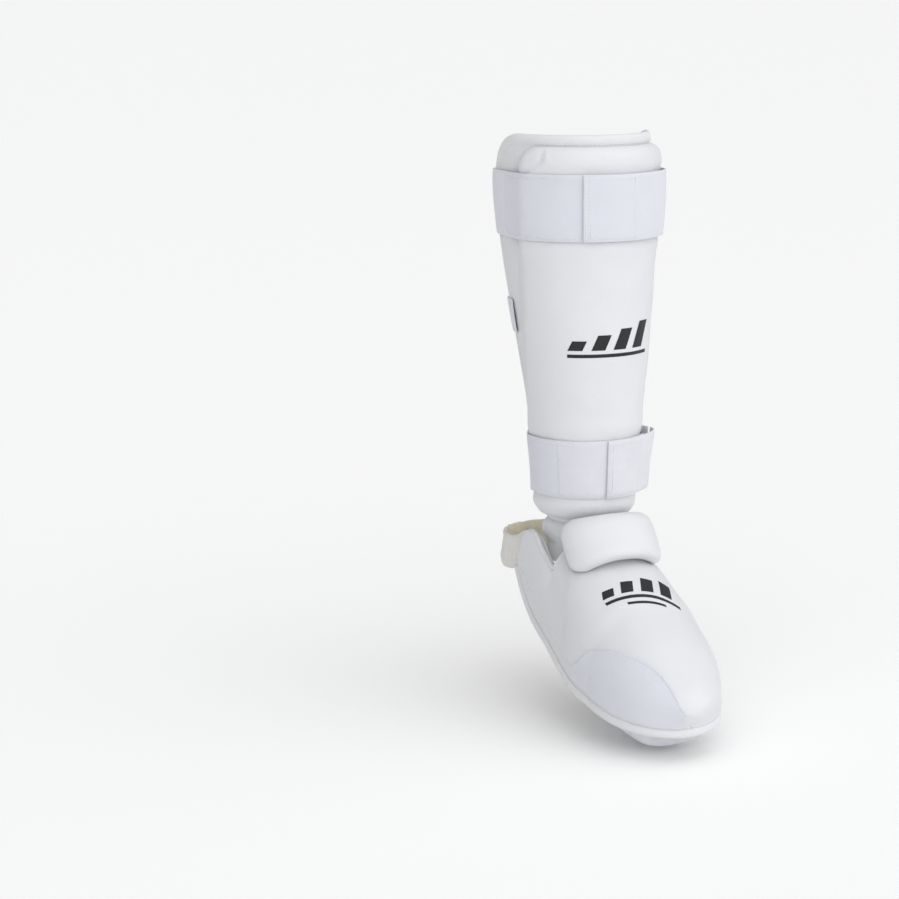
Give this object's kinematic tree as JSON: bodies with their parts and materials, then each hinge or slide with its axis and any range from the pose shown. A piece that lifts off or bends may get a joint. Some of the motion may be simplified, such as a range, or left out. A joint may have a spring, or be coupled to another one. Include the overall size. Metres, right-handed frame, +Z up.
{
  "type": "shin and instep guard",
  "caption": "Padded shin guard joined to a removable instep guard, in its worn shape, with hook-and-loop calf straps, an ankle pad and elastic foot bands.",
  "frame": {"origin": "ankle centre, on the upright axis of the lower leg that the guard is shaped round", "axes": "+Z up the leg, toes towards -Y, +X to the viewer's right from the front"},
  "size_m": [0.1264, 0.2755, 0.4427],
  "materials": {
    "cover": "white coated leatherette, fine pebble grain, satin",
    "lining": "brushed off-white knit",
    "foam": "closed-cell foam",
    "binding": "woven white tape",
    "elastic": "ribbed white elastic webbing",
    "loop": "brushed loop pile, cool white",
    "hook": "moulded hook tape"
  },
  "bodies": {
    "shin_guard": {"shin_lining": "lining", "shin_backing": "cover", "shin_foam": "foam", "shin_cover": "cover", "shin_edge_binding": "binding", "upper_strap_band": "elastic", "upper_loop_panel": "loop", "lower_strap_band": "elastic", "lower_loop_panel": "loop", "middle_calf_band": "elastic", "shin_hook_patch": "hook"},
    "upper_tab": {"upper_strap_tab": "elastic", "upper_hook_patch": "hook"},
    "lower_tab": {"lower_strap_tab": "elastic", "lower_hook_patch": "hook"},
    "tongue_body": {"tongue": "cover", "tongue_loop_patch": "loop"},
    "instep_guard": {"instep_lining": "lining", "instep_foam": "foam", "instep_cover": "cover", "left_wing_foam": "foam", "left_wing_cover": "cover", "right_wing_foam": "foam", "right_wing_cover": "cover", "toe_panel": "loop", "ankle_pad_foam": "foam", "ankle_pad_cover": "cover", "rim_welt": "binding", "arch_band": "elastic", "toe_band": "elastic"},
    "heel_loop": {"heel_band": "elastic"}
  },
  "joints": [
    {"name": "upper_tab_peel", "type": "hinge", "parent": "shin_guard", "child": "upper_tab", "pos_m": [0.06346, -0.01493, 0.285], "axis": [0, 0, 1], "range_deg": [0, 100]},
    {"name": "lower_tab_peel", "type": "hinge", "parent": "shin_guard", "child": "lower_tab", "pos_m": [0.05318, -0.03128, 0.08425], "axis": [0, 0, 1], "range_deg": [0, 45]},
    {"name": "tongue_release", "type": "slide", "parent": "shin_guard", "child": "tongue_body", "axis": [0, 0, -1], "range_m": [0, 0.1]},
    {"name": "ankle_flex", "type": "hinge", "parent": "tongue_body", "child": "instep_guard", "pos_m": [0, -0.05, 0.006], "axis": [1, 0, 0], "range_deg": [0, 10]},
    {"name": "heel_band_stretch", "type": "slide", "parent": "instep_guard", "child": "heel_loop", "axis": [0, 1, 0], "range_m": [0, 0.02], "stiffness_N_per_m": 200}
  ]
}
